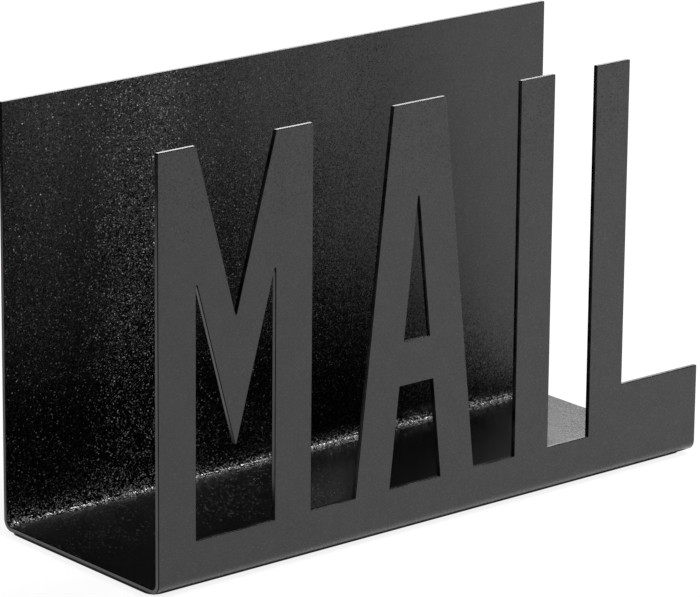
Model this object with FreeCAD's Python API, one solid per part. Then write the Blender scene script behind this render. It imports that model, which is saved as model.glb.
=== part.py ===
"""Desktop letter holder: one folded steel sheet whose front wall is four tall
cut-out capitals standing on a rail, resting on four stick-on rubber pads.

The sheet is a single piece in real life.  It is written out as nine regions that
meet face to face along the bend lines and along the feet of the letters, so each
region keeps a simple shape of its own.

Frame: millimetres, +Z up, the front wall faces -Y, the lettering reads along +X.
Origin: middle of the length and of the depth, on the surface the pads stand on.
"""
import FreeCAD, Part
import os
from FreeCAD import Vector

# ---------------------------------------------------------------- the sheet
sheet_length = 254.0        # along X, end to end
tray_depth = 90.0           # along Y, outer face of front wall to outer face of back wall
back_height = 157.0         # back wall, from the sheet's underside
front_height = 157.0        # tops of the letters, from the sheet's underside
sheet_thickness = 1.8       # steel with its coating
bend_inner_radius = 2.4     # inside of both bends
rail_height = 17.0          # top of the strip that joins the letters, from the underside

# ---------------------------------------------------------------- the letters
stem_width = 16.4           # upright strokes of M, I and L
m_width = 67.4
m_notch_height = 94.5       # bottom of the V between the two upper strokes
m_point_height = 47.0       # lowest point of the V, under the notch
a_foot_width = 55.6         # outside, where the A stands on the rail
a_top_width = 24.0          # flat top of the A
a_leg_width = 16.0          # each leg where it stands on the rail
a_apex_height = 124.5       # where the inner edges of the two legs meet
a_bar_underside = 54.3      # underside of the cross bar
a_bar_width = 16.4          # height of the cross bar
l_foot_width = 17.0         # height of the L's foot above the rail
gap_m_a = 20.2              # between letters, measured at the rail
gap_a_i = 19.6
gap_i_l = 20.0

# ---------------------------------------------------------------- the pads
pad_diameter = 10.0
pad_height = 1.2
pad_chamfer = 0.3           # round the edge that stands on the table
pad_end_inset = 16.0        # pad centre from the end of the sheet
pad_wall_inset = 16.0       # pad centre from the outer face of the nearer wall

# ---------------------------------------------------------------- worked out
left_end = -sheet_length / 2
right_end = sheet_length / 2
front_face = -tray_depth / 2
back_face = tray_depth / 2
underside = pad_height
bend_outer_radius = bend_inner_radius + sheet_thickness
wall_foot = underside + bend_outer_radius       # height where both walls leave their bends
rail_top = underside + rail_height
letter_top = underside + front_height

m_left = left_end
a_left = m_left + m_width + gap_m_a
i_left = a_left + a_foot_width + gap_a_i
l_left = i_left + stem_width + gap_i_l


def box(x_from, x_to, y_from, y_to, z_from, z_to):
    """A plain block between two corners."""
    corner = Vector(x_from, y_from, z_from)
    return Part.makeBox(x_to - x_from, y_to - y_from, z_to - z_from, corner)


def upright_plate(outline, holes=()):
    """A flat plate in the front wall: (x, z) corners, as thick as the sheet."""
    def face(corners):
        points = [Vector(x, front_face, z) for x, z in corners]
        return Part.Face(Part.makePolygon(points + points[:1]))

    plate = face(outline)
    for hole in holes:
        plate = plate.cut(face(hole))
    return plate.Faces[0].extrude(Vector(0, sheet_thickness, 0))


def quarter_bend(wall_outer_face, towards_middle):
    """The foot of a wall swept a quarter turn about its bend axis, down to the floor.

    towards_middle is +1 for the front wall and -1 for the back wall.
    """
    wall_inner_face = wall_outer_face + towards_middle * sheet_thickness
    corners = [
        Vector(left_end, wall_outer_face, wall_foot),
        Vector(right_end, wall_outer_face, wall_foot),
        Vector(right_end, wall_inner_face, wall_foot),
        Vector(left_end, wall_inner_face, wall_foot),
    ]
    wall_foot_section = Part.Face(Part.makePolygon(corners + corners[:1]))
    bend_axis = Vector(0, wall_outer_face + towards_middle * bend_outer_radius, wall_foot)
    return wall_foot_section.revolve(bend_axis, Vector(1, 0, 0), towards_middle * 90)


def back_panel():
    top = underside + back_height
    return box(left_end, right_end, back_face - sheet_thickness, back_face, wall_foot, top)


def floor_panel():
    front_edge = front_face + bend_outer_radius
    back_edge = back_face - bend_outer_radius
    return box(left_end, right_end, front_edge, back_edge, underside, underside + sheet_thickness)


def front_rail():
    inner_face = front_face + sheet_thickness
    return box(left_end, right_end, front_face, inner_face, wall_foot, rail_top)


def letter_m():
    """Two stems joined by a V whose strokes keep one width from stem to point."""
    left_stem = m_left + stem_width
    right_stem = m_left + m_width - stem_width
    right = m_left + m_width
    middle = m_left + m_width / 2
    notch = underside + m_notch_height
    point = underside + m_point_height
    fork = point + letter_top - notch           # where the V's underside leaves the stems
    return upright_plate([
        (m_left, rail_top), (m_left, letter_top), (left_stem, letter_top), (middle, notch),
        (right_stem, letter_top), (right, letter_top), (right, rail_top), (right_stem, rail_top),
        (right_stem, fork), (middle, point), (left_stem, fork), (left_stem, rail_top),
    ])


def letter_a():
    """Two leaning legs and a bar.  The inside is one tall triangle that the bar crosses."""
    middle = a_left + a_foot_width / 2
    right = a_left + a_foot_width
    apex = underside + a_apex_height
    bar_bottom = underside + a_bar_underside
    bar_top = bar_bottom + a_bar_width
    inner_half_foot = a_foot_width / 2 - a_leg_width

    def inner_half(height):
        return inner_half_foot * (apex - height) / (apex - rail_top)

    outline = [
        (a_left, rail_top), (middle - a_top_width / 2, letter_top),
        (middle + a_top_width / 2, letter_top), (right, rail_top),
        (middle + inner_half_foot, rail_top), (middle + inner_half(bar_bottom), bar_bottom),
        (middle - inner_half(bar_bottom), bar_bottom), (middle - inner_half_foot, rail_top),
    ]
    upper_window = [
        (middle - inner_half(bar_top), bar_top), (middle, apex),
        (middle + inner_half(bar_top), bar_top),
    ]
    return upright_plate(outline, holes=[upper_window])


def letter_i():
    right = i_left + stem_width
    return upright_plate([
        (i_left, rail_top), (i_left, letter_top), (right, letter_top), (right, rail_top),
    ])


def letter_l():
    """A stem with a foot that runs out to the right end of the sheet."""
    stem_right = l_left + stem_width
    foot_top = rail_top + l_foot_width
    return upright_plate([
        (l_left, rail_top), (l_left, letter_top), (stem_right, letter_top),
        (stem_right, foot_top), (right_end, foot_top), (right_end, rail_top),
    ])


def pad(x, y):
    """A rubber disc under the floor, its lower edge chamfered."""
    radius = pad_diameter / 2
    skirt = Part.makeCone(radius - pad_chamfer, radius, pad_chamfer, Vector(x, y, 0))
    disc = Part.makeCylinder(radius, pad_height - pad_chamfer, Vector(x, y, pad_chamfer))
    return skirt.fuse(disc).removeSplitter()


nodes = {
    "back_panel": back_panel(),
    "rear_bend": quarter_bend(back_face, -1),
    "floor_panel": floor_panel(),
    "front_bend": quarter_bend(front_face, +1),
    "front_rail": front_rail(),
    "letter_m": letter_m(),
    "letter_a": letter_a(),
    "letter_i": letter_i(),
    "letter_l": letter_l(),
}
for x_name, x in (("left", left_end + pad_end_inset), ("right", right_end - pad_end_inset)):
    for y_name, y in (("front", front_face + pad_wall_inset), ("rear", back_face - pad_wall_inset)):
        nodes[f"pad_{y_name}_{x_name}"] = pad(x, y)

os.makedirs("parts", exist_ok=True)
for name, shape in nodes.items():
    solid = shape.Solids[0]
    solid.exportStep(f"parts/{name}.step")
    print(f"{name:16s} solids {len(shape.Solids)} valid {solid.isValid()} volume {solid.Volume:9.1f} mm3")
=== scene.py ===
"""A letter holder folded from one black powder-coated steel sheet, in plain studio light.

The sheet is worked out flat, as it leaves the cutter, and then folded: the blank's
outline, its rounded cut edge and its two faces all go through one fold map.  Sizes come
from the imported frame.  Metres, +Z up, the front wall faces -Y.
"""
import math
from types import SimpleNamespace

import bpy
import numpy as np
from mathutils import Matrix, Vector
from mathutils.geometry import tessellate_polygon


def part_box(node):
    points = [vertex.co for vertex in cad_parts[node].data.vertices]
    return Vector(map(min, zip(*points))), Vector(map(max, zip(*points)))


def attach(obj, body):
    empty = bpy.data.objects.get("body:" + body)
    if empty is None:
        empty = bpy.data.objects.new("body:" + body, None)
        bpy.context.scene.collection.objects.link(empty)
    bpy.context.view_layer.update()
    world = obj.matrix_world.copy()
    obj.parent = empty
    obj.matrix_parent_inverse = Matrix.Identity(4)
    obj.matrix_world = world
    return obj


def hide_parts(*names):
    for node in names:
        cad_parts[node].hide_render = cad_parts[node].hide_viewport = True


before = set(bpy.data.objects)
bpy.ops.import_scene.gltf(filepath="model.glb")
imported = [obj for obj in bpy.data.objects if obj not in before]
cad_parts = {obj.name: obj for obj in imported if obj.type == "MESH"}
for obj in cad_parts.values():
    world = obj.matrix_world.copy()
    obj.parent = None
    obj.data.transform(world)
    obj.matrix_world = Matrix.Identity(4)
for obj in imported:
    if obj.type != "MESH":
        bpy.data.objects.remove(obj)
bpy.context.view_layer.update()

# ------------------------------------------------------------ the folded sheet, from the frame
back_low, back_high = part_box("back_panel")
rail_low, rail_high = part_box("front_rail")
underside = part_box("floor_panel")[0].z
left_end, right_end = back_low.x, back_high.x
back_face, front_face = back_high.y, rail_low.y
sheet_thickness = back_high.y - back_low.y
wall_foot = back_low.z                      # where both walls leave their bends
bend_radius = wall_foot - underside         # of the outer face
wall_run = back_high.z - wall_foot
bend_run = bend_radius * math.pi / 2
floor_run = back_face - front_face - 2 * bend_radius
rear_bend_start = wall_run
floor_start = rear_bend_start + bend_run
front_bend_start = floor_start + floor_run
front_wall_start = front_bend_start + bend_run

# ------------------------------------------------------------ strokes of the capitals
stem_width = 0.0164
m_notch_height = 0.0945                     # all heights from the sheet's underside
m_point_height = 0.0470
a_top_width = 0.0240
a_leg_width = 0.0160
a_apex_height = 0.1245
a_bar_underside = 0.0543
a_bar_width = 0.0164
l_foot_width = 0.0170

# ------------------------------------------------------------ the cut edge
lip_radius = 0.00032                        # where the coat wraps from a face onto the cut edge
lip_steps = 5
outer_corner_radius = 0.00045
inner_corner_radius = 0.00020
corner_steps = 6
bend_steps = 12

# ------------------------------------------------------------ the rubber pads
pad_dish_depth = 0.00015                    # hollow under the middle
pad_dish_steps = 6
pad_foot_rim = 0.0003                       # radius round the edge that stands on the table
pad_top_rim = 0.00008
pad_rim_steps = 5
pad_draft = 0.0001                          # how far the side draws in up to the sheet
pad_around = 72


def fold(across, along, depth):
    """Takes the flat blank to the folded sheet.

    `along` runs down the back wall, round the rear bend, along the floor, round the front
    bend and up the front wall, all on the outer face.  Each bend turns the sheet by its
    length over its radius, and a straight run adds its length along the direction that the
    turns so far give.  A point lies `depth` inside the outer face.
    Returns the place and the unit directions along the blank and into the tray.
    """
    rear_turn = np.clip((along - rear_bend_start) / bend_radius, 0, math.pi / 2)
    front_turn = np.clip((along - front_bend_start) / bend_radius, 0, math.pi / 2)
    turn = rear_turn + front_turn
    zero = np.zeros_like(turn)
    y = (back_face - bend_radius * (1 - np.cos(rear_turn))
         - np.clip(along - floor_start, 0, floor_run) - bend_radius * np.sin(front_turn))
    z = (back_high.z - np.clip(along, 0, wall_run) - bend_radius * np.sin(rear_turn)
         + bend_radius * (1 - np.cos(front_turn)) + np.clip(along - front_wall_start, 0, None))
    onward = np.stack([zero, -np.sin(turn), -np.cos(turn)], -1)
    inward = np.stack([zero, -np.cos(turn), np.sin(turn)], -1)
    return np.stack([across, y, z], -1) + depth[..., None] * inward, onward, inward


def corner_arcs(corners):
    """Rounds each corner of a closed outline that has the sheet on its left.

    A corner turns by the angle between its two edges, on an arc tangent to both: the arc
    starts radius * tan(turn / 2) before the corner, and its centre lies one radius to the
    side that it turns to.  Returns points and outward directions, (corner, step, 2) each.
    """
    corner = np.array(corners, float)
    arriving = corner - np.roll(corner, 1, axis=0)
    arriving /= np.linalg.norm(arriving, axis=1, keepdims=True)
    leaving = np.roll(arriving, -1, axis=0)
    cross = arriving[:, 0] * leaving[:, 1] - arriving[:, 1] * leaving[:, 0]
    turn = np.arctan2(cross, np.sum(arriving * leaving, axis=1))
    radius = np.where(turn > 0, outer_corner_radius, inner_corner_radius)
    heading = np.arctan2(arriving[:, 1], arriving[:, 0])[:, None]
    heading = heading + turn[:, None] * np.linspace(0, 1, corner_steps + 1)
    outward = np.stack([np.sin(heading), -np.cos(heading)], -1)
    start = corner - arriving * (radius * np.tan(np.abs(turn) / 2))[:, None]
    to_side = (np.sign(turn) * radius)[:, None, None]
    return start[:, None] + to_side * (outward - outward[:, :1]), outward


def on_front_wall(height):
    """Distance along the blank of a height on the front wall, above the table."""
    return front_wall_start + height - wall_foot


def blank_outlines():
    """The outer outline and the three closed openings of the blank, as corner lists.

    The outer one starts at the back wall's top right and ends at its top left.
    """
    rail = on_front_wall(rail_high.z)
    top = on_front_wall(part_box("letter_m")[1].z)
    m_left, m_right = (corner.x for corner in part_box("letter_m"))
    a_left, a_right = (corner.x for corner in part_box("letter_a"))
    i_left, i_right = (corner.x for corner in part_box("letter_i"))
    l_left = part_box("letter_l")[0].x
    l_stem_right = l_left + stem_width
    foot_top = rail + l_foot_width

    m_middle = (m_left + m_right) / 2
    m_left_stem = m_left + stem_width
    m_right_stem = m_right - stem_width
    m_notch = on_front_wall(underside + m_notch_height)
    m_point = on_front_wall(underside + m_point_height)
    m_fork = m_point + top - m_notch

    a_middle = (a_left + a_right) / 2
    a_apex = on_front_wall(underside + a_apex_height)
    a_bar_low = on_front_wall(underside + a_bar_underside)
    a_bar_top = a_bar_low + a_bar_width
    a_inner_foot = (a_right - a_left) / 2 - a_leg_width
    a_inner_low = a_inner_foot * (a_apex - a_bar_low) / (a_apex - rail)
    a_inner_top = a_inner_foot * (a_apex - a_bar_top) / (a_apex - rail)

    outer = [
        (right_end, 0), (right_end, foot_top), (l_stem_right, foot_top),
        (l_stem_right, top), (l_left, top), (l_left, rail),
        (i_right, rail), (i_right, top), (i_left, top), (i_left, rail),
        (a_right, rail), (a_middle + a_top_width / 2, top),
        (a_middle - a_top_width / 2, top), (a_left, rail),
        (m_right, rail), (m_right, top), (m_right_stem, top), (m_middle, m_notch),
        (m_left_stem, top), (left_end, top), (left_end, 0),
    ]
    m_opening = [
        (m_left_stem, rail), (m_left_stem, m_fork), (m_middle, m_point),
        (m_right_stem, m_fork), (m_right_stem, rail),
    ]
    a_opening = [
        (a_middle - a_inner_foot, rail), (a_middle - a_inner_low, a_bar_low),
        (a_middle + a_inner_low, a_bar_low), (a_middle + a_inner_foot, rail),
    ]
    a_window = [
        (a_middle - a_inner_top, a_bar_top), (a_middle, a_apex),
        (a_middle + a_inner_top, a_bar_top),
    ]
    return outer, [m_opening, a_opening, a_window]


def outer_loop(corners):
    """The outer outline with its corners rounded, and a point at each step of both bends."""
    points, outward = corner_arcs(corners)
    quarter = bend_radius * np.linspace(0, math.pi / 2, bend_steps + 1)
    steps = np.concatenate([rear_bend_start + quarter, front_bend_start + quarter])
    right_side = np.stack([np.full_like(steps, right_end), steps], -1)
    left_side = np.stack([np.full_like(steps, left_end), steps[::-1]], -1)
    to_right = np.tile([1.0, 0.0], (len(steps), 1))
    points = np.concatenate([
        points[0], right_side, points[1:-1].reshape(-1, 2), left_side, points[-1]])
    outward = np.concatenate([
        outward[0], to_right, outward[1:-1].reshape(-1, 2), -to_right, outward[-1]])
    chain = corner_steps + 1 + len(steps)   # points from the top corner to the front wall
    return points, outward, chain


def cut_edge(points, outward):
    """The edge profile carried along an outline: a lip, the flat cut, and a second lip.

    The lean goes from square out of the outer face to square out of the inner face.  A lip
    is a quarter circle: set back by radius * (1 - cos(lean)) and as deep as sin(lean) says.
    Returns places, normals, the lean's cosine and the share of the sheet's thickness that
    lies outside each point, one row of the grid per profile step.
    """
    quarter = np.linspace(0, math.pi / 2, lip_steps + 1)
    lean = np.concatenate([quarter - math.pi / 2, quarter])
    first_lip = np.arange(len(lean)) <= lip_steps
    lip_centre = np.where(first_lip, lip_radius, sheet_thickness - lip_radius)
    setback = (lip_radius * (1 - np.cos(lean)))[:, None]
    depth = (lip_centre + lip_radius * np.sin(lean))[:, None]
    flat = points - outward * setback[..., None]
    depth = np.broadcast_to(depth, flat.shape[:2])
    place, onward, inward = fold(flat[..., 0], flat[..., 1], depth)
    across = np.array([1.0, 0.0, 0.0])
    in_sheet = outward[None, :, :1] * across + outward[None, :, 1:] * onward
    normal = np.cos(lean)[:, None, None] * in_sheet + np.sin(lean)[:, None, None] * inward
    edge = np.broadcast_to(np.cos(lean)[:, None], flat.shape[:2])
    return flat[0], place, normal, edge, depth / sheet_thickness


def edge_quads(rows, columns, first):
    """Quads of a grid that closes on itself along each row, facing away from the sheet."""
    here = first + np.arange(rows * columns).reshape(rows, columns)
    following = np.roll(here, -1, axis=1)
    return np.stack([here[:-1], here[1:], following[1:], following[:-1]], -1).reshape(-1, 4)


def front_wall_triangles(loops):
    """Fills the front wall between its outline and its openings, facing out of the wall."""
    scale = 1000.0                          # the filler merges points closer than 0.03
    filled = tessellate_polygon([[Vector((x, s, 0)) * scale for x, s in loop] for loop in loops])
    triangles = np.array(filled)
    flat = np.concatenate(loops)[triangles]
    first, second = flat[:, 1] - flat[:, 0], flat[:, 2] - flat[:, 0]
    backwards = first[:, 0] * second[:, 1] < first[:, 1] * second[:, 0]
    triangles[backwards] = triangles[backwards, ::-1]
    return triangles


def new_piece(name, vertices, faces, normals, attributes, material):
    """Makes a smooth mesh piece from arrays, with its own normals, riding on the holder."""
    mesh = bpy.data.meshes.new(name)
    mesh.from_pydata(vertices.tolist(), [], faces)
    mesh.polygons.foreach_set("use_smooth", np.ones(len(mesh.polygons), bool))
    mesh.normals_split_custom_set_from_vertices(normals.tolist())
    for attribute_name, values in attributes.items():
        layer = mesh.attributes.new(attribute_name, "FLOAT", "POINT")
        layer.data.foreach_set("value", values.astype(np.float32))
    mesh.materials.append(material)
    piece = bpy.data.objects.new(name, mesh)
    bpy.context.scene.collection.objects.link(piece)
    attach(piece, "root")
    return piece


def folded_sheet(material):
    """The whole sheet as one closed skin: rounded cut edges all round, then both faces.

    Each of its points is on a cut edge's grid.  Strips between the two ends fill the back
    wall, the bends and the floor, and triangles fill the front wall.
    """
    outer, openings = blank_outlines()
    points, outward, chain = outer_loop(outer)
    outlines = [(points, outward)]
    for opening in openings:
        arc_points, arc_outward = corner_arcs(opening)
        outlines.append((arc_points.reshape(-1, 2), arc_outward.reshape(-1, 2)))
    cut_edges = [cut_edge(points, outward) for points, outward in outlines]
    flats, places, normals, edges, insides = zip(*cut_edges)

    faces, first_row, last_row = [], [], []
    count = 0
    for edge in edges:
        rows, columns = edge.shape
        faces += edge_quads(rows, columns, count).tolist()
        first_row.append(count + np.arange(columns))
        last_row.append(count + (rows - 1) * columns + np.arange(columns))
        count += edge.size

    around = len(flats[0])
    right = np.arange(chain)
    left = around - 1 - right
    strips = np.stack([left[:-1], right[:-1], right[1:], left[1:]], -1)
    wall = slice(chain - 1, around - chain + 1)
    triangles = front_wall_triangles([flats[0][wall], *flats[1:]])
    for row, flip in ((first_row, 1), (last_row, -1)):
        faces += row[0][strips][:, ::flip].tolist()
        wall_points = np.concatenate([row[0][wall], *row[1:]])
        faces += wall_points[triangles][:, ::flip].tolist()

    masks = {
        "rim": np.concatenate([edge.ravel() for edge in edges]),
        "inside": np.concatenate([inside.ravel() for inside in insides]),
    }
    sheet = new_piece("folded_sheet",
                      np.concatenate([place.reshape(-1, 3) for place in places]), faces,
                      np.concatenate([normal.reshape(-1, 3) for normal in normals]),
                      masks, material)
    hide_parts("back_panel", "rear_bend", "floor_panel", "front_bend", "front_rail",
                "letter_m", "letter_a", "letter_i", "letter_l")


def pad_profile(radius, thickness):
    """Distance from the axis and height, from the middle of the underside to that of the top.

    The dish is dish_depth * (1 - share^2)^2 high, where share is the distance over the
    dish's own radius.  Both rims are quarter circles, and between them the side draws in by
    the draft.
    """
    share = np.linspace(0, 1, pad_dish_steps + 1)[:-1]
    quarter = np.linspace(0, math.pi / 2, pad_rim_steps + 1)
    dish_radius = radius - pad_foot_rim
    top_radius = radius - pad_draft
    across = np.concatenate([
        share * dish_radius, dish_radius + pad_foot_rim * np.sin(quarter),
        top_radius - pad_top_rim * (1 - np.cos(quarter)), [0.0]])
    height = np.concatenate([
        pad_dish_depth * (1 - share ** 2) ** 2, pad_foot_rim * (1 - np.cos(quarter)),
        thickness - pad_top_rim * (1 - np.sin(quarter)), [thickness]])
    return across, height


def stick_on_pad(corner, material):
    """A moulded rubber disc: its profile turned about an upright axis, closed at both ends."""
    low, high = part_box(f"pad_{corner}")
    radius = (high.x - low.x) / 2
    thickness = high.z - low.z
    across, height = pad_profile(radius, thickness)
    slope_across, slope_height = np.gradient(across), np.gradient(height)
    slope_across[-1], slope_height[-1] = -1.0, 0.0
    steepness = np.hypot(slope_across, slope_height)

    rows = len(across)
    grid = (rows, pad_around)
    turn = np.linspace(0, 2 * math.pi, pad_around, endpoint=False)[None, :]
    places = np.stack([
        (low.x + high.x) / 2 + across[:, None] * np.cos(turn),
        (low.y + high.y) / 2 + across[:, None] * np.sin(turn),
        np.broadcast_to(low.z + height[:, None], grid)], -1)
    outward = (slope_height / steepness)[:, None]
    upward = -(slope_across / steepness)[:, None]
    normals = np.stack([
        outward * np.cos(turn), outward * np.sin(turn), np.broadcast_to(upward, grid)], -1)
    from_foot_rim = np.abs(across - radius) / (2 * pad_foot_rim)
    rim = np.clip(1 - from_foot_rim, 0, 1) * (height < thickness / 2)
    rim = np.broadcast_to(rim[:, None, None], (*grid, 1))

    ring = np.arange(pad_around)
    following = np.roll(ring, -1)
    first = 1 + np.arange(rows - 3)[:, None] * pad_around
    sides = np.stack([first + ring, first + following, first + pad_around + following,
                      first + pad_around + ring], -1).reshape(-1, 4)
    last_ring = 1 + (rows - 3) * pad_around
    top_point = np.full_like(ring, last_ring + pad_around)
    foot_fan = np.stack([np.zeros_like(ring), 1 + following, 1 + ring], -1)
    top_fan = np.stack([last_ring + ring, last_ring + following, top_point], -1)

    def to_points(values):
        """The grid as a list of points, with its first and its last row as one point each."""
        middle_rows = values[1:-1].reshape(-1, values.shape[-1])
        return np.concatenate([values[0, :1], middle_rows, values[-1, :1]])

    pad = new_piece(f"rubber_{corner}", to_points(places),
                    foot_fan.tolist() + sides.tolist() + top_fan.tolist(),
                    to_points(normals), {"rim": to_points(rim).ravel()}, material)
    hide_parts(f"pad_{corner}")


# ------------------------------------------------------------ materials
whole = (0.0, 1.0)                          # the span of a mask from nothing to all


def node(tree, kind, **values):
    """Adds a node; values set its properties or, where the name is a socket's, that socket."""
    made = tree.nodes.new(kind)
    if "node_tree" in values:
        made.node_tree = values.pop("node_tree")
    for name, value in values.items():
        socket = made.inputs.get(name.replace("_", " "))
        if socket is None:
            setattr(made, name, value)
        else:
            socket.default_value = value
    return made


def link(tree, source, target):
    tree.links.new(source, target)


def feed(tree, value, socket):
    """Links a source to a socket, or sets the socket where the value is a number or a tuple."""
    if isinstance(value, (int, float, tuple)):
        socket.default_value = value
    else:
        link(tree, value, socket)


def combined(tree, operation, first, second):
    """A Math node on two values, each a source or a plain number."""
    made = node(tree, "ShaderNodeMath", operation=operation)
    feed(tree, first, made.inputs[0])
    feed(tree, second, made.inputs[1])
    return made.outputs[0]


def product(tree, first, *others):
    for other in others:
        first = combined(tree, "MULTIPLY", first, other)
    return first


def larger(tree, first, second):
    return combined(tree, "MAXIMUM", first, second)


def remainder(tree, share):
    """What a share leaves of 1."""
    return combined(tree, "SUBTRACT", 1.0, share)


def vector_math(tree, operation, source, given=None):
    """A Vector Math node on a source and, where it takes one, a second vector or a scale."""
    made = node(tree, "ShaderNodeVectorMath", operation=operation)
    link(tree, source, made.inputs[0])
    if given is not None:
        feed(tree, given, made.inputs["Scale" if operation == "SCALE" else 1])
    return made.outputs["Value" if operation == "LENGTH" else "Vector"]


def ranged(tree, source, span, at_start, at_end):
    """A smooth step from one value to another while the source crosses the span.

    A span is two values of the source: places, in metres, or values of a mask.
    """
    made = node(tree, "ShaderNodeMapRange", interpolation_type="SMOOTHSTEP",
                From_Min=span[0], From_Max=span[1], To_Min=at_start, To_Max=at_end)
    link(tree, source, made.inputs["Value"])
    return made.outputs[0]


def fades_in(tree, source, span, least=0.0):
    """From least to 1 while the source crosses the span."""
    return ranged(tree, source, span, least, 1.0)


def fades_out(tree, source, span, least=0.0):
    """From 1 to least while the source crosses the span."""
    return ranged(tree, source, span, 1.0, least)


def blend(tree, share, first, second):
    """first where the share is 0, second where it is 1, straight in between."""
    made = node(tree, "ShaderNodeMapRange")
    link(tree, share, made.inputs["Value"])
    feed(tree, first, made.inputs["To Min"])
    feed(tree, second, made.inputs["To Max"])
    return made.outputs[0]


def mixed(tree, share, first, second, kind):
    """Mix node for two colours ("RGBA") or two directions ("VECTOR")."""
    first_socket, output = {"VECTOR": (4, 1), "RGBA": (6, 2)}[kind]
    made = node(tree, "ShaderNodeMix", data_type=kind)
    link(tree, share, made.inputs[0])
    link(tree, first, made.inputs[first_socket])
    link(tree, second, made.inputs[first_socket + 1])
    return made.outputs[output]


def per_grain(tree, share, chance, coarse):
    """A share of the surface, as whole grains where coarse is 1 and evened out where it is 0."""
    edge_of_choice = (0.0, 0.15)
    whole_grains = fades_in(tree, combined(tree, "SUBTRACT", share, chance), edge_of_choice)
    return blend(tree, coarse, share, whole_grains)


def new_group(name, inputs, outputs):
    """An empty node group; inputs and outputs are (name, socket kind) pairs."""
    group = bpy.data.node_groups.new(name, "ShaderNodeTree")
    for in_out, sockets in (("INPUT", inputs), ("OUTPUT", outputs)):
        for socket, kind in sockets:
            group.interface.new_socket(socket, in_out=in_out, socket_type="NodeSocket" + kind)
    return group, node(group, "NodeGroupInput").outputs, node(group, "NodeGroupOutput").inputs


def grain_group():
    """Turns the surface normal a little at random in each grain of a textured finish.

    Each Voronoi cell is one grain.  Its colour gives the way it leans, and a random number
    of its own, raised to a power, says how far, so most grains lie flat and a few stand up.
    """
    group, given, out = new_group(
        "finish_grain",
        [("Vector", "Vector"), ("Grain Size", "Float"), ("Lean", "Float"), ("Rarity", "Float")],
        [("Normal", "Vector"), ("Stand", "Float"), ("Chance", "Float")])
    cells = node(group, "ShaderNodeTexVoronoi")
    link(group, given["Vector"], cells.inputs["Vector"])
    link(group, combined(group, "DIVIDE", 1.0, given["Grain Size"]), cells.inputs["Scale"])
    roll = node(group, "ShaderNodeTexWhiteNoise")
    link(group, cells.outputs["Position"], roll.inputs["Vector"])
    stand = combined(group, "POWER", roll.outputs["Value"], given["Rarity"])

    middle_colour = (0.5, 0.5, 0.5)
    way = vector_math(group, "SUBTRACT", cells.outputs["Color"], middle_colour)
    way = vector_math(group, "NORMALIZE", way)
    turned = vector_math(group, "SCALE", way, product(group, stand, given["Lean"]))
    surface = node(group, "ShaderNodeNewGeometry").outputs["Normal"]
    normal = vector_math(group, "NORMALIZE", vector_math(group, "ADD", surface, turned))
    parts = node(group, "ShaderNodeSeparateColor")
    link(group, cells.outputs["Color"], parts.inputs[0])
    link(group, normal, out["Normal"])
    link(group, stand, out["Stand"])
    link(group, parts.outputs["Red"], out["Chance"])
    return group


def wear_group():
    """Colour that is a little uneven everywhere and paler where hands and tables rub the rims.

    Fine noise moves the colour up or down by the given variation.  The worn colour comes in
    with the rim mask, in blotches where coarse noise is high.
    """
    group, given, out = new_group(
        "rim_wear",
        [("Vector", "Vector"), ("Rim", "Float"), ("Color", "Color"), ("Worn Color", "Color"),
         ("Blotch Size", "Float"), ("Variation", "Float")],
        [("Color", "Color"), ("Blotches", "Float")])
    noise = node(group, "ShaderNodeTexNoise", Detail=4.0, Roughness=0.65)
    link(group, given["Vector"], noise.inputs["Vector"])
    link(group, combined(group, "DIVIDE", 1.0, given["Blotch Size"]), noise.inputs["Scale"])
    mid_noise = (0.38, 0.62)
    blotches = fades_in(group, noise.outputs["Fac"], mid_noise)
    uneven = blend(group, blotches, remainder(group, given["Variation"]),
                   combined(group, "ADD", 1.0, given["Variation"]))
    shaded = vector_math(group, "SCALE", given["Color"], uneven)
    rubbed = product(group, given["Rim"], blotches)
    link(group, mixed(group, rubbed, shaded, given["Worn Color"], "RGBA"), out["Color"])
    link(group, blotches, out["Blotches"])
    return group


def new_material(name):
    material = bpy.data.materials.new(name)
    material.use_nodes = True
    return material, material.node_tree, material.node_tree.nodes["Principled BSDF"]


def attribute(tree, name):
    return node(tree, "ShaderNodeAttribute", attribute_name=name).outputs["Fac"]


def placed_group(tree, group, coordinates, **values):
    made = node(tree, "ShaderNodeGroup", node_tree=group, **values)
    link(tree, coordinates, made.inputs["Vector"])
    return made


def distance_from_line(tree, coordinates, y, z):
    """Distance from the straight line along X that passes through y and z."""
    section = vector_math(tree, "MULTIPLY", coordinates, (0, 1, 1))
    return vector_math(tree, "LENGTH", vector_math(tree, "SUBTRACT", section, (0, y, z)))


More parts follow.
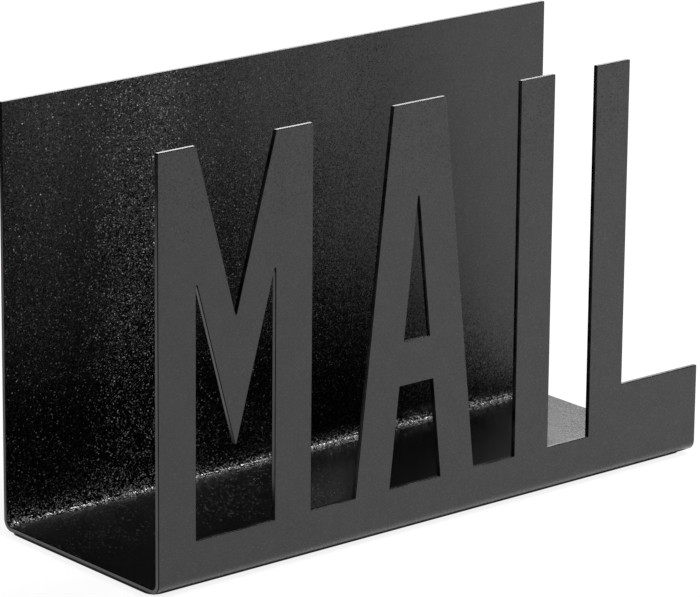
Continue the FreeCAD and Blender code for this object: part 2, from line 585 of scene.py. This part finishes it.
def coat_zones(tree, coordinates):
    """The masks that say where on the sheet a point lies, with its own coordinates beside them.

    face is 1 on both faces and 0 on the cut edge, with lip where the coat wraps from one to
    the other.  within is the face that looks into the tray.  wall and floor part where the
    rear bend ends.  bend is the inside of the rear bend, and near_bend fades out from it.
    off_bend is the distance from the bend, counted several times to the right, so that
    what fades with it is narrower there.  An upright band of the walls, left of the middle,
    is a painted reflection, made brighter than what is beside it.
    """
    place = node(tree, "ShaderNodeSeparateXYZ")
    link(tree, coordinates, place.inputs[0])
    across, back, height = (place.outputs[axis] for axis in "XYZ")

    rim = attribute(tree, "rim")
    lip_start, lip_end, edge_side = (0.02, 0.3), (0.85, 0.99), (0.0, 0.5)
    lip = product(tree, fades_in(tree, rim, lip_start), fades_out(tree, rim, lip_end))
    face = fades_out(tree, rim, edge_side)
    half_way_in = (0.4, 0.8)                # of the inside mask, through the thickness
    within = product(tree, fades_in(tree, attribute(tree, "inside"), half_way_in), face)

    top_of_bend = (0.0045, 0.0060)
    wall = fades_in(tree, height, top_of_bend)
    floor = product(tree, within, remainder(tree, wall))

    # painted reflection: an upright band of the walls, brighter than the wall beside it
    reflection_band_left, reflection_band_right = (-0.101, -0.073), (-0.062, -0.036)
    painted_reflection_band = product(tree, fades_in(tree, across, reflection_band_left),
                     fades_out(tree, across, reflection_band_right))

    bend_width, band_width = (0.0018, 0.0030), (0.003, 0.018)
    narrowing, times_at_right = (-0.065, 0.000), 2.5
    distance = distance_from_line(tree, coordinates, back_low.y, underside + sheet_thickness)
    off_bend = product(tree, distance, ranged(tree, across, narrowing, 1.0, times_at_right))
    bend = product(tree, fades_out(tree, distance, bend_width), within)
    near_bend = product(tree, fades_out(tree, off_bend, band_width), within)
    return SimpleNamespace(
        across=across, back=back, height=height, rim=rim, face=face, lip=lip, within=within,
        wall=wall, floor=floor, painted_reflection_band=painted_reflection_band, off_bend=off_bend, bend=bend,
        near_bend=larger(tree, near_bend, bend))


def painted_shade_share(tree, zones):
    """Painted shade on a wall inside the tray, as a share: 1 - u^2 / (u^2 + 2).

    u is the height over a shaded height, which falls to the right end, where the tray
    is open, rises to the left and is a little less in the band of painted reflection.  The
    left is never fully shaded, and the top edge is shaded less, most of all in the middle.
    """
    right_half, left_of_middle = (0.030, 0.120), (-0.030, 0.020)
    middle_height, right_end_height, more_at_left, reflection_band_factor = 0.074, 0.012, 0.028, 0.76
    shaded_height = ranged(tree, zones.across, right_half, middle_height, right_end_height)
    deeper = ranged(tree, zones.across, left_of_middle, more_at_left, 0.0)
    shaded_height = product(tree, combined(tree, "ADD", shaded_height, deeper),
                        fades_out(tree, zones.painted_reflection_band, whole, least=reflection_band_factor))

    half_unshaded = 2.0                      # what u^2 is where half is left unshaded
    left_part, least_unshaded = (-0.050, 0.030), 0.06
    squared = combined(tree, "DIVIDE", zones.height, shaded_height)
    squared = product(tree, squared, squared)
    unshaded = combined(tree, "DIVIDE", squared, combined(tree, "ADD", squared, half_unshaded))
    unshaded = larger(tree, unshaded, ranged(tree, zones.across, left_part, least_unshaded, 0.0))

    top_edge, middle_left, middle_right = (0.100, 0.140), (-0.050, -0.010), (0.010, 0.045)
    top_unshaded, left_factor = 0.27, 0.25
    at_top = product(tree, ranged(tree, zones.height, top_edge, 0.0, top_unshaded),
                     fades_out(tree, zones.across, middle_right),
                     fades_in(tree, zones.across, middle_left, least=left_factor))
    unshaded = combined(tree, "ADD", unshaded, at_top)
    return product(tree, remainder(tree, unshaded), product(tree, zones.wall, zones.within))


def coarse_share(tree, zones):
    """1 where the coat shows each grain, 0 where it is too fine to tell them apart.

    The outside is coarse and the floor is fine.  A wall inside is as coarse as the largest
    of these: the nearness of the bend, the band of painted reflection, a share that falls to
    the right, and bands along the top and the foot that are weaker to the right.
    """
    top_band, foot_band = (0.110, 0.145), (0.020, 0.060)
    to_right, top_to_right, foot_to_right = (-0.020, 0.085), (-0.030, 0.050), (-0.050, 0.020)
    at_left, in_reflection_band, at_top, at_foot, right_factor = 0.35, 0.8, 0.45, 0.7, 0.3
    left_share = ranged(tree, zones.across, to_right, at_left, 0.0)
    top = product(tree, ranged(tree, zones.height, top_band, 0.0, at_top),
                  fades_out(tree, zones.across, top_to_right, least=right_factor))
    foot = product(tree, ranged(tree, zones.height, foot_band, at_foot, 0.0),
                   fades_out(tree, zones.across, foot_to_right, least=right_factor))
    coarse = larger(tree, left_share, product(tree, zones.painted_reflection_band, in_reflection_band))
    coarse = larger(tree, coarse, larger(tree, top, foot))
    coarse = product(tree, larger(tree, coarse, zones.near_bend), zones.wall)
    return blend(tree, zones.within, 1.0, coarse)


def coat_grains(tree, grain_effect, coordinates, zones, painted_shade, coarse):
    """The grains of the coat, a little larger on the floor.

    They lean a little on any face, more where they are coarse and under the painted shade
    inside the tray, and most at the rear bend, where many of them stand up.
    """
    floor_scale, half = 0.9, 0.5
    on_floor = combined(tree, "GREATER_THAN", zones.floor, half)
    scaled = vector_math(tree, "SCALE", coordinates, floor_scale)
    grain_place = mixed(tree, on_floor, coordinates, scaled, "VECTOR")
    grains = placed_group(tree, grain_effect, grain_place, Grain_Size=0.0004)

    face_lean, floor_lean, shaded_lean = 0.20, 0.04, 0.6
    wall_lean_near, floor_lean_near, bend_lean = 0.65, 0.25, 0.45
    lean = product(tree, zones.face, blend(tree, zones.floor, face_lean, floor_lean))
    lean = combined(tree, "ADD", lean, product(tree, painted_shade, coarse, shaded_lean))
    lean = blend(tree, zones.near_bend, lean,
                 blend(tree, zones.floor, wall_lean_near, floor_lean_near))
    link(tree, blend(tree, zones.bend, lean, bend_lean), grains.inputs["Lean"])

    wall_rarity, floor_rarity, bend_rarity = 1.1, 4.0, 1.6
    rarity = blend(tree, zones.floor, wall_rarity, floor_rarity)
    link(tree, blend(tree, zones.bend, rarity, bend_rarity), grains.inputs["Rarity"])
    return grains


def painted_glint_grains(tree, zones, chance):
    """1 on the grains painted pale as glints, 0 on the others.

    On a wall their share is the square of a ramp that falls off from the bend, over a small
    share all over, larger in the band of painted reflection.  On the floor it rises to the
    back.  Both are less to the right, and the bend has a share of its own.
    """
    near_part, bend_root, all_over, in_reflection_band = (0.0, 0.012), 0.62, 0.05, 0.11
    wall_on_floor = 0.2                     # how much of the walls' share the floor has too
    root = ranged(tree, zones.off_bend, near_part, bend_root, 0.0)
    share = combined(tree, "ADD", product(tree, root, root),
                     ranged(tree, zones.painted_reflection_band, whole, all_over, in_reflection_band))
    share = product(tree, share, zones.within, blend(tree, zones.floor, 1.0, wall_on_floor))

    to_back, at_back = (-0.030, 0.012), 0.07
    from_left_end, left_end_factor = (-0.090, -0.050), 0.75
    on_floor = product(tree, ranged(tree, zones.back, to_back, 0.0, at_back),
                       fades_in(tree, zones.across, from_left_end, least=left_end_factor),
                       zones.floor)

    to_right, right_factor, in_bend = (-0.050, 0.030), 0.3, 0.31
    share = product(tree, larger(tree, share, on_floor),
                    fades_out(tree, zones.across, to_right, least=right_factor))
    share = larger(tree, share, product(tree, zones.bend, in_bend))
    just_over_one = (1.0, 1.06)
    return fades_in(tree, combined(tree, "ADD", chance, share), just_over_one)


def painted_dark_share(tree, zones, painted_shade):
    """Share of the surface painted dark as shade: the shaded walls and most of the floor.

    The floor's share changes in two steps from left to right and is none at its right end.
    """
    left_step, right_step, last_step = (-0.025, 0.005), (0.030, 0.070), (0.080, 0.095)
    at_left, in_middle, right_factor, at_bend = 0.74, 0.62, 1.26, 0.75
    on_floor = product(tree, zones.floor,
                       ranged(tree, zones.across, left_step, at_left, in_middle),
                       ranged(tree, zones.across, right_step, 1.0, right_factor),
                       fades_out(tree, zones.across, last_step))
    return blend(tree, zones.near_bend, combined(tree, "ADD", on_floor, painted_shade), at_bend)


def dark_flecks(tree, zones, chance):
    """Partly dark grains with little shine, scattered over the outer faces near the top."""
    near_top, share_at_top = (0.115, 0.145), 0.16
    fleck_edge, hollowness = (0.0, 0.03), 0.4
    outer_face = combined(tree, "SUBTRACT", zones.face, zones.within)
    share = product(tree, ranged(tree, zones.height, near_top, 0.0, share_at_top), outer_face)
    over_chance = combined(tree, "SUBTRACT", share, chance)
    return ranged(tree, over_chance, fleck_edge, 0.0, hollowness)


def film_weight(tree, zones, painted_dark, chance, blotches):
    """How much film there is: what the painted dark share leaves, times a share for each zone,
    so the film thins out under the painted shade.

    The floor has less film, and at its right end each grain has as much as chance gives it.
    There is least in the bend and on the lips, both painted dark, and less up the cut edge
    than at its foot.
    """
    floor_end, edge_foot = (0.085, 0.100), (0.004, 0.012)
    floor_film, bend_film, edge_film, lip_film, tray_film = 0.4, 0.15, 0.4, 0.1, 0.9
    thin_blotch = 0.92
    on_floor = blend(tree, fades_in(tree, zones.across, floor_end), floor_film, chance)
    on_edge = fades_out(tree, zones.height, edge_foot, least=edge_film)
    return product(
        tree, remainder(tree, painted_dark), blend(tree, zones.floor, 1.0, on_floor),
        blend(tree, zones.bend, 1.0, bend_film), blend(tree, zones.face, on_edge, 1.0),
        blend(tree, zones.lip, 1.0, lip_film), blend(tree, blotches, thin_blotch, 1.0),
        blend(tree, zones.within, 1.0, tray_film))


def base_roughness(tree, zones, stand):
    """Satin grains, glossier the more they stand up, and softer at the left of the floor."""
    satin, soft, glossy, edge_gloss = 0.36, 0.32, 0.15, 0.16
    from_left = (-0.060, 0.030)
    roughness = ranged(tree, stand, whole, satin, glossy)
    roughness = blend(tree, zones.near_bend, roughness, glossy)
    roughness = blend(tree, zones.floor, roughness,
                      ranged(tree, zones.across, from_left, soft, glossy))
    roughness = blend(tree, zones.bend, roughness, glossy)
    return blend(tree, zones.face, edge_gloss, roughness)


def painted_light_and_haze(tree, zones, chance):
    """How pale the floor is painted: a slanting strip of painted light behind the gap between
    the M and the A, and a faint paler haze behind the middle.

    The strip follows the line where across is back less the offset.  It is strongest at
    the front.  Each grain takes the paler colour more or less, as chance gives it.
    """
    strip_offset, strip_width, strip_length = 0.018, (0.004, 0.024), (-0.020, 0.036)
    at_front, at_back = 0.80, 0.10
    aslant = combined(tree, "SUBTRACT", zones.across, zones.back)
    aslant = combined(tree, "ABSOLUTE", combined(tree, "ADD", aslant, strip_offset), 0.0)
    # painted light: the strip behind the gap between the M and the A
    strip = product(tree, fades_out(tree, aslant, strip_width),
                    ranged(tree, zones.back, strip_length, at_front, at_back))

    haze_left, haze_right, haze_front = (-0.085, -0.050), (-0.015, 0.010), (-0.025, 0.008)
    haze_strength = 0.045
    haze = product(tree, ranged(tree, zones.across, haze_left, 0.0, haze_strength),
                   fades_out(tree, zones.across, haze_right),
                   fades_in(tree, zones.back, haze_front))
    haze = blend(tree, zones.bend, haze, 0.0)

    least_taken, most_taken = 0.2, 1.8
    paler_floor = product(tree, larger(tree, strip, haze), zones.floor)
    return product(tree, paler_floor, blend(tree, chance, least_taken, most_taken))


def powder_coat(grain_effect, wear_effect):
    """Black fine-texture coat: a grained base under a smooth film.

    The film is full on the outside and near the back wall's top right, and thins out down
    into the tray as painted shade.  Grains without film are painted dark, which is a
    metallic share with next to no colour.  Pale grains are painted glints, most of them at
    the rear bend, where grains also stand up and glint, and the floor has a painted strip
    of light and a faint paler haze.
    """
    material, tree, shader = new_material("black_powder_coat")
    shader.inputs["IOR"].default_value = 1.45
    shader.inputs["Coat IOR"].default_value = 1.3
    shader.inputs["Coat Roughness"].default_value = 0.22
    coordinates = node(tree, "ShaderNodeTexCoord").outputs["Object"]
    zones = coat_zones(tree, coordinates)
    # painted shade: the inside of the tray darker downwards and to the left
    painted_shade = painted_shade_share(tree, zones)
    coarse = coarse_share(tree, zones)

    grains = coat_grains(tree, grain_effect, coordinates, zones, painted_shade, coarse)
    chance, stand = grains.outputs["Chance"], grains.outputs["Stand"]
    wear = placed_group(tree, wear_effect, coordinates, Color=(0.0022, 0.0022, 0.0023, 1),
                        Worn_Color=(0.012, 0.012, 0.013, 1), Blotch_Size=0.011, Variation=0.35)
    link(tree, zones.rim, wear.inputs["Rim"])
    pale = painted_glint_grains(tree, zones, chance)
    # painted shade, in whole grains where the coat is coarse and even where it is fine
    painted_dark = per_grain(tree, painted_dark_share(tree, zones, painted_shade), chance, coarse)
    film = film_weight(tree, zones, painted_dark, chance, wear.outputs["Blotches"])
    shade_and_flecks = larger(tree, blend(tree, pale, painted_dark, 0.0), dark_flecks(tree, zones, chance))

    lying_pale = 0.30                       # how pale a painted glint on a wall is if its grain lies flat
    pallor = blend(tree, zones.floor, ranged(tree, stand, whole, lying_pale, 1.0), 1.0)
    pale_share = larger(tree, product(tree, pale, pallor), painted_light_and_haze(tree, zones, chance))
    # the colour of the painted glints, and of the painted strip of light and the paler haze on the
    # floor
    pale_black = node(tree, "ShaderNodeRGB")
    pale_black.outputs[0].default_value = (0.20, 0.20, 0.204, 1)
    colour = mixed(tree, pale_share, wear.outputs["Color"], pale_black.outputs[0], "RGBA")

    link(tree, colour, shader.inputs["Base Color"])
    # the lips are painted dark as shade lines along the rounded edges
    link(tree, larger(tree, shade_and_flecks, zones.lip), shader.inputs["Metallic"])
    link(tree, base_roughness(tree, zones, stand), shader.inputs["Roughness"])
    link(tree, grains.outputs["Normal"], shader.inputs["Normal"])
    link(tree, film, shader.inputs["Coat Weight"])
    return material


def pad_rubber(grain_effect, wear_effect):
    """Matt black rubber with a fine moulded texture, dusty where its rim meets the table."""
    material, tree, shader = new_material("pad_rubber")
    shader.inputs["IOR"].default_value = 1.5
    coordinates = node(tree, "ShaderNodeTexCoord").outputs["Object"]
    grains = placed_group(tree, grain_effect, coordinates,
                          Grain_Size=0.00025, Lean=0.3, Rarity=1.0)
    link(tree, grains.outputs["Normal"], shader.inputs["Normal"])
    wear = placed_group(tree, wear_effect, coordinates, Color=(0.016, 0.016, 0.017, 1),
                        Worn_Color=(0.055, 0.053, 0.050, 1), Blotch_Size=0.0015, Variation=0.25)
    link(tree, attribute(tree, "rim"), wear.inputs["Rim"])
    link(tree, wear.outputs["Color"], shader.inputs["Base Color"])
    link(tree, blend(tree, wear.outputs["Blotches"], 0.62, 0.78), shader.inputs["Roughness"])
    return material


# ------------------------------------------------------------ studio
def seen_directly(tree):
    """Camera, glossy and transmission rays: 1 where a ray shows a picture of what it meets."""
    path = node(tree, "ShaderNodeLightPath").outputs
    shown = larger(tree, path["Is Camera Ray"], path["Is Glossy Ray"])
    return larger(tree, shown, path["Is Transmission Ray"])


def studio_world():
    """White backdrop behind, seen white all over, with a dark room above it in the gloss."""
    world = bpy.data.worlds.new("studio")
    bpy.context.scene.world = world
    world.use_nodes = True
    tree = world.node_tree
    background = tree.nodes["Background"]
    background.inputs["Color"].default_value = (1, 1, 1, 1)
    top_of_backdrop, dark_room, ambient = (0.17, 0.52), 0.05, 0.40
    direction = node(tree, "ShaderNodeSeparateXYZ")
    link(tree, node(tree, "ShaderNodeTexCoord").outputs["Generated"], direction.inputs[0])
    backdrop = fades_out(tree, direction.outputs["Z"], top_of_backdrop, least=dark_room)
    camera_ray = node(tree, "ShaderNodeLightPath").outputs["Is Camera Ray"]
    backdrop = larger(tree, backdrop, camera_ray)
    link(tree, blend(tree, seen_directly(tree), ambient, backdrop), background.inputs["Strength"])


def studio_floor():
    """Pale floor: seen white, with the holder's shadow, and painted shade in the slit under the
    sheet.

    The glow is painted out up to a distance outside a rectangle inset from the holder's
    footprint, which rounds its corners.  Glossy rays meet this painted shade further out,
    where the gloss of the sheet's underside sees it.
    """
    material, tree, shader = new_material("pale_floor")
    tree.nodes.remove(shader)
    slit_middle = (0, 0.0018, 0)
    slit_half = (right_end - 0.0055, back_face - 0.0077, 1.0)
    seen_edge, gloss_edge = (0.0042, 0.0046), (0.0073, 0.0090)
    glow_strength = 0.86                    # makes white with the light that falls on the floor
    coordinates = node(tree, "ShaderNodeTexCoord").outputs["Object"]
    from_middle = vector_math(tree, "SUBTRACT", coordinates, slit_middle)
    outside = vector_math(tree, "SUBTRACT", vector_math(tree, "ABSOLUTE", from_middle), slit_half)
    away = vector_math(tree, "LENGTH", vector_math(tree, "MAXIMUM", outside, (0, 0, 0)))

    # painted shade: no glow in the slit, and further out for glossy rays
    to_camera = ranged(tree, away, seen_edge, 0.0, glow_strength)
    in_gloss = ranged(tree, away, gloss_edge, 0.0, glow_strength)
    camera_ray = node(tree, "ShaderNodeLightPath").outputs["Is Camera Ray"]
    lit = node(tree, "ShaderNodeBsdfDiffuse", Color=(0.8, 0.8, 0.8, 1))
    shown = node(tree, "ShaderNodeBsdfDiffuse", Color=(0.22, 0.22, 0.22, 1))
    glow = node(tree, "ShaderNodeEmission", Color=(1, 1, 1, 1))
    link(tree, blend(tree, camera_ray, in_gloss, to_camera), glow.inputs["Strength"])
    added = node(tree, "ShaderNodeAddShader")
    link(tree, shown.outputs[0], added.inputs[0])
    link(tree, glow.outputs[0], added.inputs[1])
    chosen = node(tree, "ShaderNodeMixShader")
    link(tree, seen_directly(tree), chosen.inputs[0])
    link(tree, lit.outputs[0], chosen.inputs[1])
    link(tree, added.outputs[0], chosen.inputs[2])
    link(tree, chosen.outputs[0], tree.nodes["Material Output"].inputs["Surface"])
    far = 12.0
    corners = np.array([(-far, -far, 0), (far, -far, 0), (far, far, 0), (-far, far, 0)])
    stage_piece("floor", corners, material)


def dark_card():
    """A black card behind the left end that keeps the cut edges crisp, met only by glossy rays."""
    material, tree, shader = new_material("black_card")
    shader.inputs["Base Color"].default_value = (0, 0, 0, 1)
    shader.inputs["Specular IOR Level"].default_value = 0.0
    foot, half, upward = np.array([[-0.42, 0.33, 0.0], [0.33, 0.31, 0.0], [0.0, 0.0, 0.6]])
    corners = np.array([foot - half, foot + half, foot + half + upward, foot - half + upward])
    card = stage_piece("black_card", corners, material)
    card.visible_camera = False
    card.visible_diffuse = False
    card.visible_transmission = False
    card.visible_shadow = False


def stage_piece(name, corners, material):
    mesh = bpy.data.meshes.new(name)
    mesh.from_pydata(corners.tolist(), [], [(0, 1, 2, 3)])
    mesh.materials.append(material)
    piece = bpy.data.objects.new(name, mesh)
    bpy.context.scene.collection.objects.link(piece)
    return piece


def softbox(name, direction, distance, width, height, brightness, aim_height=0.08):
    """A rectangular lamp facing the holder; brightness is what it looks like, with 1 as white."""
    lamp = bpy.data.lights.new(name, "AREA")
    lamp.shape = "RECTANGLE"
    lamp.size = width
    lamp.size_y = height
    lamp.energy = brightness * math.pi * width * height
    holder = bpy.data.objects.new(name, lamp)
    away = Vector(direction).normalized()
    holder.location = Vector((0, 0, aim_height)) + away * distance
    holder.rotation_euler = away.to_track_quat("Z", "Y").to_euler()
    holder.visible_camera = False
    bpy.context.scene.collection.objects.link(holder)


def studio_camera():
    """Looks at the target from its left front, a little from above."""
    yaw, pitch, roll = math.radians(40.115), math.radians(16.646), math.radians(0.533)
    target = Vector((-0.004758, 0.0, 0.074824))
    distance = 1.67878
    forward = Vector((math.sin(yaw) * math.cos(pitch), math.cos(yaw) * math.cos(pitch),
                      -math.sin(pitch)))
    level = Vector((math.cos(yaw), -math.sin(yaw), 0))
    upright = level.cross(forward)
    right = level * math.cos(roll) + upright * math.sin(roll)
    up = upright * math.cos(roll) - level * math.sin(roll)
    eye = target - forward * distance
    camera = bpy.data.objects.new("camera", bpy.data.cameras.new("camera"))
    camera.data.lens = 239.36
    camera.data.sensor_width = 36.0
    camera.data.clip_end = 50
    turned = Matrix((right, up, -forward)).transposed()
    camera.matrix_world = Matrix.Translation(eye) @ turned.to_4x4()
    bpy.context.scene.collection.objects.link(camera)
    bpy.context.scene.camera = camera


grain_effect = grain_group()
wear_effect = wear_group()
folded_sheet(powder_coat(grain_effect, wear_effect))
rubber = pad_rubber(grain_effect, wear_effect)
for corner in ("front_left", "front_right", "rear_left", "rear_right"):
    stick_on_pad(corner, rubber)
studio_world()
studio_floor()
dark_card()
softbox("top_softbox", direction=(0.62, -0.22, 0.75), distance=1.3,
        width=0.36, height=0.36, brightness=28.0)
softbox("front_softbox", direction=(0.62, -0.74, 0.26), distance=1.5,
        width=0.25, height=0.20, brightness=18.0)
softbox("rim_softbox", direction=(0.616, 0.732, 0.29), distance=1.6,
        width=0.7, height=0.12, brightness=4.0, aim_height=0.16)
studio_camera()
bpy.context.scene.view_settings.view_transform = "Standard"
